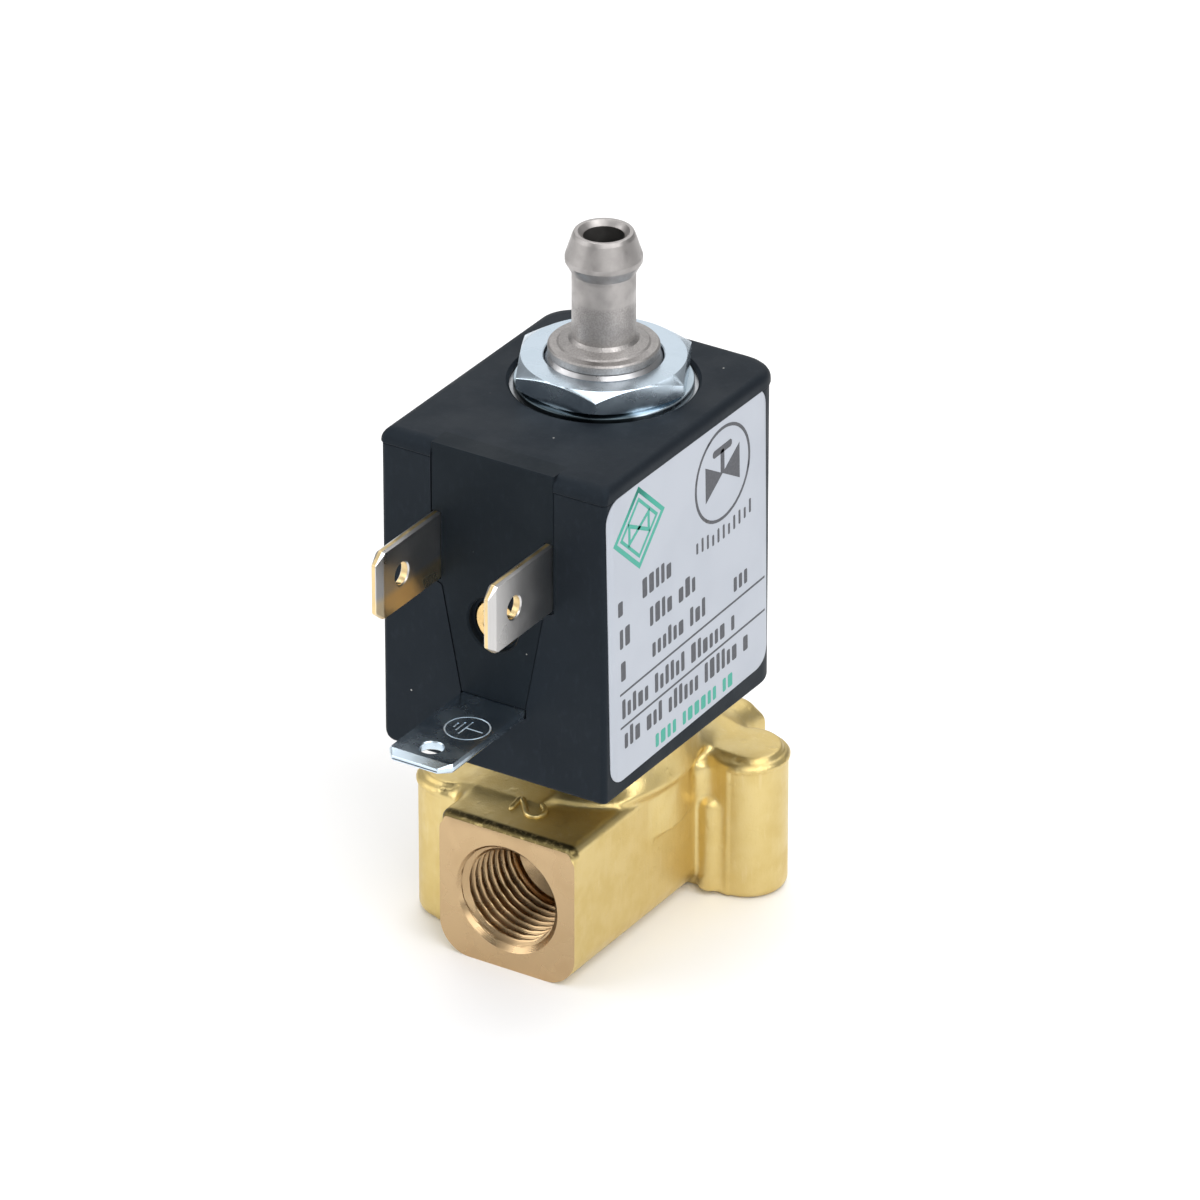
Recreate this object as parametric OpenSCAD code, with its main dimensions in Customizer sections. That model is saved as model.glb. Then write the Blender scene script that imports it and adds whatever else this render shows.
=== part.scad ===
// Three-way direct-acting solenoid valve with a 22 mm coil and a top exhaust hose barb.
// Millimetres. +Z runs up the armature tube. The origin is on the tube's axis at the base face.
// Port 2 and the terminals face -Y, port 1 faces +Y and the rating label faces +X.

/* [Brass body] */
// Width of the port block along X
block_w = 13.5; // [13:0.1:14]
// Length of the port block along Y, from port face to port face
block_l = 30.7; // [30:0.1:34]
// Height of the port block
block_h = 13.5; // [13.2:0.1:14.5]
// Rounding of the lower long edges of the port block
block_round = 3; // [1:0.1:3.5]
// Outer radius of the round boss that carries the armature tube
boss_r = 7.4; // [7.2:0.1:7.8]
// Height of the boss face above the base
boss_top = 19; // [18.8:0.1:19]
// Height above the base at which the boss runs out of the block's sides
boss_base = 8.6; // [7:0.1:10]
// Distance of each mounting lug from the axis along X
lug_x = 9.35; // [9:0.05:10]
// Distance of each mounting lug from the axis along Y
lug_y = 8.3; // [8:0.05:9]
// Radius of the round end of each mounting lug
lug_r = 3.6; // [3.2:0.1:3.8]
// Minor radius of the G1/8 port thread
port_r = 4.283; // [4.28:0.001:4.29]
// Depth of the port thread
port_depth = 8.5; // [7:0.1:8.6]
// Minor radius of the M4 thread in the mounting lugs
lug_hole_r = 1.62; // [1.5:0.01:1.7]
// Depth of the mounting holes from below
lug_hole_depth = 8; // [6:0.5:9]

/* [Coil] */
// Width of the coil casing along X
coil_w = 22; // [21.6:0.1:22.4]
// Front face of the casing, along -Y from the axis
coil_front = 17.3; // [17:0.1:18]
// Back face of the casing, along +Y from the axis
coil_back = 10.7; // [10.6:0.1:11]
// Underside of the casing above the base
coil_base = 20; // [20:0.1:20.2]
// Top face of the casing above the base
coil_top = 49.5; // [49.4:0.1:49.8]
// Height of the moulded lid
lid_h = 1.4; // [1.2:0.1:1.5]
// Radius of the round recess in the lid
recess_r = 7.95; // [7.8:0.05:8.4]
// Radius of the casing's back corners
back_corner_r = 3; // [1.5:0.1:3.2]

/* [Terminals] */
// Width of a spade terminal
tab_w = 6.3; // [6.2:0.1:6.4]
// Thickness of a spade terminal
tab_t = 0.8; // [0.75:0.05:0.85]
// Distance between the two line terminals
tab_pitch = 11; // [10:0.1:11]
// Height of the middle of the line terminals
tab_z = 40.05; // [39:0.05:41]
// Reach of the line terminals in front of the casing
tab_reach = 9.5; // [8:0.1:10]
// Height of the middle of the earth terminal
earth_z = 26.45; // [26:0.05:27]
// Reach of the earth terminal in front of the casing
earth_reach = 12; // [9:0.1:12.5]
// Height of the connector screw insert
insert_z = 34; // [33:0.1:35]

/* [Top fitting] */
// Width across flats of the coil nut
nut_af = 14; // [13:0.5:14]
// Height of the coil nut
nut_h = 2.2; // [2:0.1:3]
// Outer radius of the coil washer
washer_r = 7.6; // [7:0.1:7.7]
// Top of the hose barb above the base
barb_top = 63.25; // [62:0.05:65]
// Outer radius of the hose barb's neck
barb_neck_r = 2.7; // [2.5:0.05:2.9]
// Outer radius of the hose barb's head
barb_head_r = 3.27; // [3:0.01:3.6]
// Bore radius of the hose barb
barb_bore_r = 1.74; // [1.5:0.01:1.9]

/* [Armature] */
// Outer radius of the armature tube
tube_r = 4.95; // [4.9:0.05:4.95]
// Bore radius of the armature tube
tube_bore_r = 4; // [3.95:0.05:4]
// Radial running clearance of the plunger and of the coil
running_gap = 0.08; // [0.05:0.01:0.09]
// Radius of the valve orifice
orifice_r = 0.6; // [0.4:0.1:0.9]
// Working stroke of the plunger
stroke = 0.8; // [0.5:0.1:0.8]
// Face of the fixed core above the base
core_face = 34.9; // [34.5:0.1:35.5]

/* [Hidden] */
$fn = 64;
eps = 0.01;
brass = [0.80, 0.66, 0.33];
black_plastic = [0.15, 0.16, 0.19];
zinc = [0.74, 0.78, 0.80];
stainless = [0.62, 0.60, 0.58];
magnet_steel = [0.50, 0.51, 0.53];
copper = [0.72, 0.42, 0.25];
dark_rubber = [0.08, 0.08, 0.09];

port_z = block_h / 2;
port_end = block_l / 2 - port_depth;
passage_r = 1.5;
chamber_floor = 10;
chamber_r = 4.9;
skirt_seat = 11.6;
skirt_r = 6;
seat_r = 1.5;
seat_top = 11.58;
lug_shoulder = 1.4;

skirt_base = 12.6;
skirt_bore_r = 5.2;
spring_shoulder = 19;
flange_r = 6.3;
tube_top = 46.5;
thread_top = 52.05;
spigot_base = 49;
spigot_r = 2.5;
exhaust_r = 0.75;
nozzle_r = 1.2;
shading_in = 2.6;
shading_out = 3.3;
shading_h = 1.2;

plunger_base = 11.6;
plunger_r = tube_bore_r - running_gap;
plunger_top = core_face - stroke - 0.2;
collar_r = 4.75;
collar_top = 13.6;
seal_bore_r = 2;
seal_lip_r = 1.7;
exhaust_seal_top = plunger_top - 0.2;
exhaust_seal_h = 1.5;
exhaust_bore_base = plunger_top - 5.9;
nozzle_tip = exhaust_seal_top + stroke + 0.02;
coil_bore_r = tube_r + running_gap;

plate_t = 1.5;
yoke_w = 16;
yoke_front = 9;
yoke_back = 9.3;
yoke_wall = 1.3;
washer_base = coil_top - 0.6;
washer_t = 0.75;
plate_top_z = washer_base - plate_t;
bobbin_base = coil_base + plate_t;
bobbin_flange_t = 2;
bobbin_hub_r = 5.9;
bobbin_flange_r = 9.2;
bobbin_flat = 7.9;
winding_r = 7.8;
cavity_w = 19;
cavity_front = 9.6;
cavity_back = 9.4;
seam_z = coil_top - lid_h;
front_corner_r = 0.5;

block_top_w = 12;
block_low_w = 10;
block_base_w = 6.3;
block_shoulder_z = tab_z - tab_w / 2 - 0.1;
block_top_z = coil_top - 0.4;
tab_x = tab_pitch / 2;
tab_root = 5.3;
tab_hole_r = 1;
tab_hole_back = 3.65;
tab_chamfer = 1.3;
earth_hole_back = 2.6;
insert_r = 2.15;
insert_recess_r = 2.45;
insert_recess = 0.6;
insert_l = 6;
insert_thread_r = 1.23;
label_w = 25;
label_h = 27;
label_t = 0.08;
label_y = -3.85;
label_z = 35;
label_turn = 1.6;
label_corner = 1.8;
nut_base = washer_base + washer_t;

// A cylinder along +Y that starts at the origin
module bar_y(r, l) {
    rotate([-90, 0, 0])
        cylinder(r = r, h = l);
}

// A block with its low corner at [x, y, z], and a size
module box(low, size) {
    translate(low)
        cube(size);
}

// A coil spring: one round ring for each turn, with short struts that join the rings
module spring_turns(radius, wire, low, high, turns) {
    pitch = (high - low - wire) / (turns - 1);
    for (i = [0 : turns - 1])
        translate([0, 0, low + wire / 2 + i * pitch])
            rotate_extrude()
                translate([radius, 0])
                    circle(d = wire, $fn = 16);
    for (i = [0 : turns - 2])
        rotate([0, 0, 180 * i])
            translate([radius, 0, low + wire / 2 + i * pitch])
                cylinder(d = wire * 0.8, h = pitch, $fn = 16);
}

// One mounting lug with a shouldered top, joined to the block by a web
module lug() {
    translate([lug_x, lug_y, 0]) {
        cylinder(r = lug_r, h = block_h - lug_shoulder);
        translate([0, 0, block_h - lug_shoulder])
            cylinder(r1 = lug_r, r2 = lug_r - lug_shoulder, h = lug_shoulder);
    }
    box([0, lug_y - lug_r, 0], [lug_x, 2 * lug_r, block_h - lug_shoulder]);
    box([0, lug_y - lug_r + lug_shoulder, 0], [lug_x, 2 * (lug_r - lug_shoulder), block_h]);
}

// The port block: square above, with rounded lower long edges
module port_block() {
    low = -block_l / 2;
    side = block_w / 2;
    box([-side, low, block_round], [block_w, block_l, block_h - block_round]);
    box([-side + block_round, low, 0], [block_w - 2 * block_round, block_l, block_h]);
    for (s = [-1, 1])
        translate([s * (side - block_round), low, block_round])
            bar_y(block_round, block_l);
}

module valve_body() {
    color(brass)
    difference() {
        union() {
            port_block();
            lug();
            rotate([0, 0, 180])
                lug();
            translate([0, 0, boss_base])
                cylinder(r = boss_r, h = boss_top - boss_base);
        }
        for (turn = [0, 180])
            rotate([0, 0, turn]) {
                translate([0, port_end, port_z])
                    bar_y(port_r, port_depth + 1);
                translate([0, port_end, port_z])
                    rotate([90, 0, 0])
                        cylinder(r1 = port_r, r2 = passage_r, h = 1.6);
                translate([lug_x, lug_y, -1])
                    cylinder(r = lug_hole_r, h = lug_hole_depth + 1);
            }
        // inlet passage from port 1 to the orifice
        translate([0, -0.6, port_z])
            bar_y(passage_r, port_end + 0.6);
        translate([0, 0, port_z])
            cylinder(r = orifice_r, h = seat_top);
        // outlet passage from the chamber to port 2
        translate([0, -port_end, port_z])
            bar_y(passage_r, 3);
        translate([0, -3.85, port_z])
            cylinder(r = 0.9, h = block_h);
        difference() {
            translate([0, 0, chamber_floor])
                cylinder(r = chamber_r, h = skirt_seat);
            cylinder(r = seat_r, h = seat_top);
        }
        translate([0, 0, skirt_seat])
            cylinder(r = skirt_r, h = boss_top);
    }
}

module tube_o_ring() {
    color(dark_rubber)
        translate([0, 0, (skirt_seat + skirt_base) / 2])
            rotate_extrude()
                translate([skirt_r - 0.51, 0])
                    circle(r = 0.48, $fn = 24);
}

module armature_tube() {
    color(stainless)
    difference() {
        union() {
            translate([0, 0, skirt_base])
                cylinder(r = skirt_r - eps, h = boss_top - skirt_base);
            translate([0, 0, boss_top])
                cylinder(r = flange_r, h = coil_base - boss_top);
            translate([0, 0, coil_base])
                cylinder(r = tube_r, h = tube_top - coil_base);
        }
        translate([0, 0, skirt_base - 1])
            cylinder(r = skirt_bore_r, h = spring_shoulder - skirt_base + 1);
        cylinder(r = tube_bore_r, h = tube_top + 1);
    }
}

module fixed_core() {
    thread_chamfer = 0.25;
    color(magnet_steel)
    difference() {
        union() {
            translate([0, 0, core_face])
                cylinder(r = tube_bore_r, h = tube_top - core_face);
            translate([0, 0, nozzle_tip])
                cylinder(r = nozzle_r, h = core_face - nozzle_tip);
            translate([0, 0, tube_top])
                cylinder(r = tube_r, h = thread_top - thread_chamfer - tube_top);
            translate([0, 0, thread_top - thread_chamfer])
                cylinder(r1 = tube_r, r2 = tube_r - thread_chamfer, h = thread_chamfer);
        }
        cylinder(r = exhaust_r, h = barb_top);
        translate([0, 0, spigot_base])
            cylinder(r = spigot_r, h = barb_top);
        translate([0, 0, core_face - 1])
            difference() {
                cylinder(r = shading_out, h = shading_h + 1);
                cylinder(r = shading_in, h = shading_h + 1);
            }
    }
}

module shading_ring() {
    color(copper)
        translate([0, 0, core_face])
            difference() {
                cylinder(r = shading_out, h = shading_h);
                translate([0, 0, -1])
                    cylinder(r = shading_in, h = shading_h + 2);
            }
}

module hose_barb() {
    flange_low = 4.5;
    color(stainless)
        rotate_extrude()
            polygon([
                [barb_bore_r, spigot_base],
                [spigot_r, spigot_base],
                [spigot_r, thread_top],
                [flange_low - 0.2, thread_top],
                [flange_low - 0.2, thread_top + 0.15],
                [flange_low, thread_top + 0.3],
                [flange_low, thread_top + 0.75],
                [flange_low - 0.4, thread_top + 1.1],
                [barb_neck_r + 0.4, thread_top + 1.5],
                [barb_neck_r, thread_top + 1.9],
                [barb_neck_r, barb_top - 3.65],
                [barb_head_r, barb_top - 2.6],
                [barb_head_r, barb_top - 2.2],
                [barb_head_r - 0.6, barb_top - 0.35],
                [barb_head_r - 0.9, barb_top],
                [barb_bore_r + 0.4, barb_top],
                [barb_bore_r, barb_top - 0.4],
            ]);
}

module plunger_spring() {
    color(zinc)
        spring_turns(4.4, 0.5, collar_top, spring_shoulder, 5);
}

module plunger() {
    flute_w = 1.2;
    flute_depth = 0.7;
    color(magnet_steel)
    difference() {
        union() {
            translate([0, 0, plunger_base])
                cylinder(r = collar_r, h = collar_top - plunger_base);
            translate([0, 0, collar_top])
                cylinder(r = plunger_r, h = plunger_top - collar_top);
        }
        translate([0, 0, plunger_base - 1])
            cylinder(r = seal_bore_r, h = 2.4);
        translate([0, 0, exhaust_bore_base])
            cylinder(r = seal_bore_r, h = exhaust_seal_top - exhaust_bore_base);
        translate([0, 0, exhaust_bore_base])
            cylinder(r = seal_lip_r, h = 10);
        for (turn = [0 : 120 : 240])
            rotate([0, 0, turn])
                box([plunger_r - flute_depth, -flute_w / 2, plunger_base - 1],
                    [5, flute_w, plunger_top]);
    }
}

module lower_seal() {
    color(dark_rubber)
        translate([0, 0, plunger_base])
            cylinder(r = seal_bore_r, h = 1.4);
}

module exhaust_seal() {
    color(dark_rubber)
        translate([0, 0, exhaust_seal_top - exhaust_seal_h])
            cylinder(r = seal_bore_r - running_gap, h = exhaust_seal_h);
}

module exhaust_seal_spring() {
    color(zinc)
        spring_turns(1.4, 0.35, exhaust_bore_base, exhaust_seal_top - exhaust_seal_h, 5);
}

module magnet_yoke() {
    color(magnet_steel)
    difference() {
        union() {
            for (low = [coil_base, plate_top_z])
                box([-yoke_w / 2, -yoke_front, low], [yoke_w, yoke_front + yoke_back, plate_t]);
            box([-yoke_w / 2, yoke_back - yoke_wall, coil_base],
                [yoke_w, yoke_wall, washer_base - coil_base]);
        }
        cylinder(r = coil_bore_r, h = coil_top);
    }
}

module bobbin() {
    color([0.20, 0.20, 0.22])
    difference() {
        union() {
            translate([0, 0, bobbin_base])
                cylinder(r = bobbin_hub_r, h = plate_top_z - bobbin_base);
            intersection() {
                for (low = [bobbin_base, plate_top_z - bobbin_flange_t])
                    translate([0, 0, low])
                        cylinder(r = bobbin_flange_r, h = bobbin_flange_t);
                box([-10, -bobbin_flat, 0], [20, 2 * bobbin_flat, coil_top]);
            }
        }
        cylinder(r = coil_bore_r, h = coil_top);
    }
}

module coil_winding() {
    low = bobbin_base + bobbin_flange_t;
    color(copper)
        translate([0, 0, low])
            difference() {
                cylinder(r = winding_r, h = plate_top_z - bobbin_flange_t - low);
                translate([0, 0, -1])
                    cylinder(r = bobbin_hub_r, h = coil_top);
            }
}

// The two ends of the winding, led forward to the roots of the line terminals
module winding_leads() {
    lead_r = 0.25;
    color(copper)
        for (s = [-1, 1])
            translate([s * (tab_x - 0.2), -coil_front + tab_root, tab_z])
                bar_y(lead_r, coil_front - tab_root - 6.2);
}

// Outline of the terminal block in the casing's front, in X and Z
module block_outline() {
    polygon([
        [-block_top_w / 2, block_top_z],
        [-block_top_w / 2, block_shoulder_z],
        [-block_low_w / 2, block_shoulder_z],
        [-block_base_w / 2, earth_z + tab_t / 2],
        [block_base_w / 2, earth_z + tab_t / 2],
        [block_low_w / 2, block_shoulder_z],
        [block_top_w / 2, block_shoulder_z],
        [block_top_w / 2, block_top_z],
    ]);
}

module block_prism(front, back) {
    translate([0, back, 0])
        rotate([90, 0, 0])
            linear_extrude(back - front)
                block_outline();
}

module terminal_block() {
    color(black_plastic)
    difference() {
        block_prism(-coil_front, -cavity_front);
        for (s = [-1, 1])
            box([s * tab_x - tab_t / 2, -coil_front - 1, tab_z - tab_w / 2],
                [tab_t, tab_root + 1, tab_w]);
        for (s = [-1, 1])
            translate([s * (tab_x - 0.2), -coil_front + tab_root, tab_z])
                bar_y(0.25, 10);
        translate([0, -coil_front - 1, insert_z])
            bar_y(insert_recess_r, insert_recess + 1);
        translate([0, -coil_front, insert_z])
            bar_y(insert_r, insert_recess + insert_l);
    }
}

// Casing outline in plan, with small front corners and larger back corners
module casing_block(low, high) {
    h = high - low;
    half = coil_w / 2;
    box([-half, -coil_front + front_corner_r, low],
        [coil_w, coil_front + coil_back - front_corner_r - back_corner_r, h]);
    box([-half + back_corner_r, -coil_front, low],
        [coil_w - 2 * back_corner_r, coil_front + coil_back, h]);
    box([-half + front_corner_r, -coil_front, low],
        [coil_w - 2 * front_corner_r, coil_front, h]);
    for (s = [-1, 1]) {
        translate([s * (half - back_corner_r), coil_back - back_corner_r, low])
            cylinder(r = back_corner_r, h = h);
        translate([s * (half - front_corner_r), -coil_front + front_corner_r, low])
            cylinder(r = front_corner_r, h = h);
    }
}

module earth_shape() {
    leg = bobbin_flat + 1;
    box([-tab_w / 2, -coil_front - earth_reach, earth_z - tab_t / 2],
        [tab_w, coil_front + earth_reach - leg + tab_t, tab_t]);
    box([-tab_w / 2, -leg, bobbin_base], [tab_w, tab_t, earth_z + tab_t / 2 - bobbin_base]);
}

module coil_housing() {
    color(black_plastic)
    difference() {
        casing_block(coil_base, seam_z);
        box([-cavity_w / 2, -cavity_front, coil_base + plate_t],
            [cavity_w, cavity_front + cavity_back, coil_top]);
        box([-yoke_w / 2, -yoke_front, coil_base - 1],
            [yoke_w, yoke_front + yoke_back, plate_t + 2]);
        block_prism(-coil_front - 1, -cavity_front + 1);
        earth_shape();
    }
}

module housing_lid() {
    color(black_plastic)
    difference() {
        casing_block(seam_z, coil_top);
        cylinder(r = recess_r, h = coil_top + 1);
        block_prism(-coil_front - 1, -cavity_front);
        box([-yoke_w / 2, -yoke_front, seam_z - 1],
            [yoke_w, yoke_front + yoke_back, washer_base - seam_z + 1]);
    }
}

// A spade terminal that lies in the YZ plane, tip towards -Y
module spade(reach, root, hole_back) {
    tip = -coil_front - reach;
    difference() {
        rotate([90, 0, 90])
            linear_extrude(tab_t, center = true)
                polygon([
                    [-coil_front + root, tab_w / 2],
                    [tip + tab_chamfer, tab_w / 2],
                    [tip, tab_w / 2 - tab_chamfer],
                    [tip, -tab_w / 2 + tab_chamfer],
                    [tip + tab_chamfer, -tab_w / 2],
                    [-coil_front + root, -tab_w / 2],
                ]);
        translate([-1, tip + hole_back, 0])
            rotate([0, 90, 0])
                cylinder(r = tab_hole_r, h = 2);
    }
}

module line_terminal_left() {
    color(zinc)
        translate([-tab_x, 0, tab_z])
            spade(tab_reach, tab_root, tab_hole_back);
}

module line_terminal_right() {
    color(zinc)
        translate([tab_x, 0, tab_z])
            spade(tab_reach, tab_root, tab_hole_back);
}

module earth_terminal() {
    color(zinc)
    difference() {
        earth_shape();
        for (s = [-1, 1])
            translate([s * tab_w / 2, -coil_front - earth_reach, earth_z])
                rotate([0, 0, 45])
                    cube([tab_chamfer * 1.4, tab_chamfer * 1.4, 2], center = true);
        translate([0, -coil_front - earth_reach + earth_hole_back, earth_z - 1])
            cylinder(r = tab_hole_r, h = 2);
    }
}

module connector_insert() {
    color(brass)
        translate([0, -coil_front + insert_recess, insert_z])
            difference() {
                bar_y(insert_r, insert_l);
                translate([0, -1, 0])
                    bar_y(insert_thread_r, insert_l);
            }
}

module name_label() {
    half_w = label_w / 2 - label_corner;
    half_h = label_h / 2 - label_corner;
    color([0.80, 0.82, 0.86])
        translate([coil_w / 2, label_y, label_z])
            rotate([label_turn, 0, 0])
                rotate([0, 90, 0]) {
                    translate([-label_h / 2, -half_w, 0])
                        cube([label_h, 2 * half_w, label_t]);
                    translate([-half_h, -label_w / 2, 0])
                        cube([2 * half_h, label_w, label_t]);
                    for (x = [-half_h, half_h])
                        for (y = [-half_w, half_w])
                            translate([x, y, 0])
                                cylinder(r = label_corner, h = label_t);
                }
}

module nut_washer() {
    color(zinc)
        translate([0, 0, washer_base])
            difference() {
                cylinder(r = washer_r, h = washer_t);
                translate([0, 0, -1])
                    cylinder(r = coil_bore_r + 0.1, h = washer_t + 2);
            }
}

// A thin hexagon nut, chamfered on its top corners
module hex_nut() {
    chamfer_angle = 25;
    face_r = nut_af / 2 - 0.2;
    color(zinc)
        translate([0, 0, nut_base])
            difference() {
                intersection() {
                    rotate([0, 0, -3])
                        cylinder(r = nut_af / 2 / cos(30), h = nut_h, $fn = 6);
                    cylinder(r1 = face_r + nut_h / tan(chamfer_angle), r2 = face_r, h = nut_h);
                }
                translate([0, 0, -1])
                    cylinder(r = coil_bore_r, h = nut_h + 2);
            }
}

valve_body();
tube_o_ring();
armature_tube();
fixed_core();
shading_ring();
hose_barb();
plunger_spring();
plunger();
lower_seal();
exhaust_seal();
exhaust_seal_spring();
magnet_yoke();
bobbin();
coil_winding();
winding_leads();
terminal_block();
coil_housing();
housing_lid();
line_terminal_left();
line_terminal_right();
earth_terminal();
connector_insert();
name_label();
nut_washer();
hex_nut();
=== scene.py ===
"""Three-way solenoid valve: the visible model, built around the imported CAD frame."""

import math

import bmesh
import bpy
import numpy as np
from mathutils import Matrix, Vector


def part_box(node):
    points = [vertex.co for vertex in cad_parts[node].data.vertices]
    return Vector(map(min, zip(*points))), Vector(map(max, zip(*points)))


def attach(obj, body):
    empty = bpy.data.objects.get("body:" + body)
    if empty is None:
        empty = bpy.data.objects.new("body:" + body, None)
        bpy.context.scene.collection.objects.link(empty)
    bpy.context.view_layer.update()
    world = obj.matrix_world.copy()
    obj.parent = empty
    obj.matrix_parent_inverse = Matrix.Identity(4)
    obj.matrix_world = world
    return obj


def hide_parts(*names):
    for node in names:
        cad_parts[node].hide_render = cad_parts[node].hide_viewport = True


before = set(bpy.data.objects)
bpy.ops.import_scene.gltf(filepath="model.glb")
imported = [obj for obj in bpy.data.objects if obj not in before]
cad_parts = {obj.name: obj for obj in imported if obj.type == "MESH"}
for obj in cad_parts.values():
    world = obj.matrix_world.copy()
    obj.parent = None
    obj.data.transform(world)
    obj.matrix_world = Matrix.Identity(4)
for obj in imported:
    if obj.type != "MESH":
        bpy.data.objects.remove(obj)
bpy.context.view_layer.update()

# Shapes below are worked out in millimetres and become metres in make_object.
MM = 0.001


def box_mm(node):
    low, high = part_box(node)
    return np.array(low) / MM, np.array(high) / MM


# ---------- sizes from the frame
HOUSING_LOW, HOUSING_HIGH = box_mm("coil_housing")
NUT_LOW, NUT_HIGH = box_mm("hex_nut")
WASHER_LOW, WASHER_HIGH = box_mm("nut_washer")
CORE_LOW, CORE_HIGH = box_mm("fixed_core")
TAB_LOW, TAB_HIGH = box_mm("line_terminal_right")
EARTH_LOW, EARTH_HIGH = box_mm("earth_terminal")
INSERT_LOW, INSERT_HIGH = box_mm("connector_insert")
YOKE_BACK = box_mm("magnet_yoke")[1][1]
BARB_TOP = box_mm("hose_barb")[1][2]
FACE_Y, BOSS_TOP = box_mm("valve_body")[1][1:]

COIL_X, COIL_BACK, SEAM_Z = HOUSING_HIGH
COIL_FRONT, COIL_BASE = HOUSING_LOW[1:]
COIL_TOP = box_mm("housing_lid")[1][2]

BLOCK_HALF = 6.75
BLOCK_TOP = 13.5
PORT_Z = BLOCK_TOP / 2
BOSS_R = 7.4
LUG_X, LUG_Y = 9.35, 8.3


# ---------- mesh helpers
def make_object(name, vertices, faces, sharp=35.0):
    mesh = bpy.data.meshes.new(name)
    mesh.from_pydata([tuple(float(c) * MM for c in v) for v in vertices], [], faces)
    mesh.validate()
    obj = add_object(name, mesh)
    tidy_mesh(obj, sharp)
    return obj


def add_object(name, data):
    obj = bpy.data.objects.new(name, data)
    bpy.context.scene.collection.objects.link(obj)
    return obj


def tidy_mesh(obj, sharp):
    bm = bmesh.new()
    bm.from_mesh(obj.data)
    bmesh.ops.remove_doubles(bm, verts=bm.verts, dist=1e-7)
    bmesh.ops.dissolve_degenerate(bm, dist=1e-7, edges=bm.edges)
    bmesh.ops.recalc_face_normals(bm, faces=bm.faces)
    bm.to_mesh(obj.data)
    bm.free()
    smooth(obj, sharp)


def smooth(obj, sharp):
    obj.data.polygons.foreach_set("use_smooth", [True] * len(obj.data.polygons))
    obj.data.set_sharp_from_angle(angle=math.radians(sharp))
    obj.data.update()


def weigh_normals(obj):
    """Keeps broad flat faces flat in the shading, beside rounded edges."""
    modifier = obj.modifiers.new("weigh", "WEIGHTED_NORMAL")
    modifier.keep_sharp = True
    modifier.weight = 80
    apply_modifiers(obj)


def apply_modifiers(obj):
    bpy.context.view_layer.update()
    graph = bpy.context.evaluated_depsgraph_get()
    mesh = bpy.data.meshes.new_from_object(obj.evaluated_get(graph))
    old = obj.data
    obj.modifiers.clear()
    obj.data = mesh
    bpy.data.meshes.remove(old)


def combine(obj, other, operation="DIFFERENCE"):
    """Cuts other from obj, or joins it on, and removes other."""
    modifier = obj.modifiers.new("cut", "BOOLEAN")
    modifier.operation = operation
    modifier.object = other
    modifier.solver = "MANIFOLD"
    apply_modifiers(obj)
    if len(obj.data.polygons) == 0:
        raise RuntimeError(f"{operation} of {other.name} emptied {obj.name}")
    bpy.data.objects.remove(other, do_unlink=True)


def rounded(points, radii, steps=5):
    """A closed outline whose corners are rounded, each to its own radius."""
    if not hasattr(radii, "__len__"):
        radii = [radii] * len(points)
    out = []
    count = len(points)
    for i, point in enumerate(points):
        here = np.array(point, float)
        a = np.array(points[i - 1], float) - here
        b = np.array(points[(i + 1) % count], float) - here
        la, lb = np.linalg.norm(a), np.linalg.norm(b)
        a, b = a / la, b / lb
        half = math.acos(max(-1, min(1, float(a @ b)))) / 2
        if radii[i] <= 0 or abs(math.cos(half)) < 1e-4:
            out.append(here)
            continue
        reach = min(radii[i] / math.tan(half), la * 0.49, lb * 0.49)
        radius = reach * math.tan(half)
        centre = here + (a + b) / np.linalg.norm(a + b) * radius / math.sin(half)
        start = here + a * reach - centre
        end = here + b * reach - centre
        angle = math.acos(max(-1, min(1, float(start @ end) / radius**2)))
        for s in range(steps + 1):
            t = s / steps
            w0 = math.sin((1 - t) * angle) / math.sin(angle)
            w1 = math.sin(t * angle) / math.sin(angle)
            out.append(centre + start * w0 + end * w1)
    return out


def offset(outline, distance):
    """Moves a closed outline outwards, or inwards where distance is negative."""
    pts = np.array(outline, float)
    area = np.sum(pts[:, 0] * np.roll(pts[:, 1], -1) - np.roll(pts[:, 0], -1) * pts[:, 1])

    def normal(d):
        length = np.maximum(np.linalg.norm(d, axis=1)[:, None], 1e-9)
        return np.stack([d[:, 1], -d[:, 0]], 1) / length

    mean = normal(pts - np.roll(pts, 1, 0)) + normal(np.roll(pts, -1, 0) - pts)
    mean /= np.maximum((mean * mean).sum(1)[:, None], 1e-6) / 2
    return pts + mean * distance * (1 if area > 0 else -1)


def quads(rows, count, closed):
    """Faces between neighbouring rows of points, where each row is a closed loop."""
    faces = []
    for i in range(rows if closed else rows - 1):
        a, b = i * count, (i + 1) % rows * count
        for j in range(count):
            k = (j + 1) % count
            faces.append((a + j, a + k, b + k, b + j))
    return faces


def loft(name, loops, sharp=35.0):
    """A closed skin through loops of 3-D points, with flat ends."""
    rows, count = len(loops), len(loops[0])
    faces = quads(rows, count, False)
    faces.append(tuple(range(count - 1, -1, -1)))
    faces.append(tuple(range((rows - 1) * count, rows * count)))
    return make_object(name, [p for loop in loops for p in loop], faces, sharp)


def place(outline, plane, level):
    """2-D outline points at a level of the plane's own axis."""
    if plane == "XY":
        return [(u, v, level) for u, v in outline]
    if plane == "XZ":
        return [(u, level, v) for u, v in outline]
    if plane == "YX":
        return [(v, u, level) for u, v in outline]
    return [(level, u, v) for u, v in outline]


def slab(outline, low, high, plane="XZ"):
    """A tool: an outline given a thickness."""
    return loft("tool", [place(outline, plane, low), place(outline, plane, high)])


def brick(low, high):
    (x0, y0, z0), (x1, y1, z1) = low, high
    return slab([(x0, y0), (x1, y0), (x1, y1), (x0, y1)], z0, z1, "XY")


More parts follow.
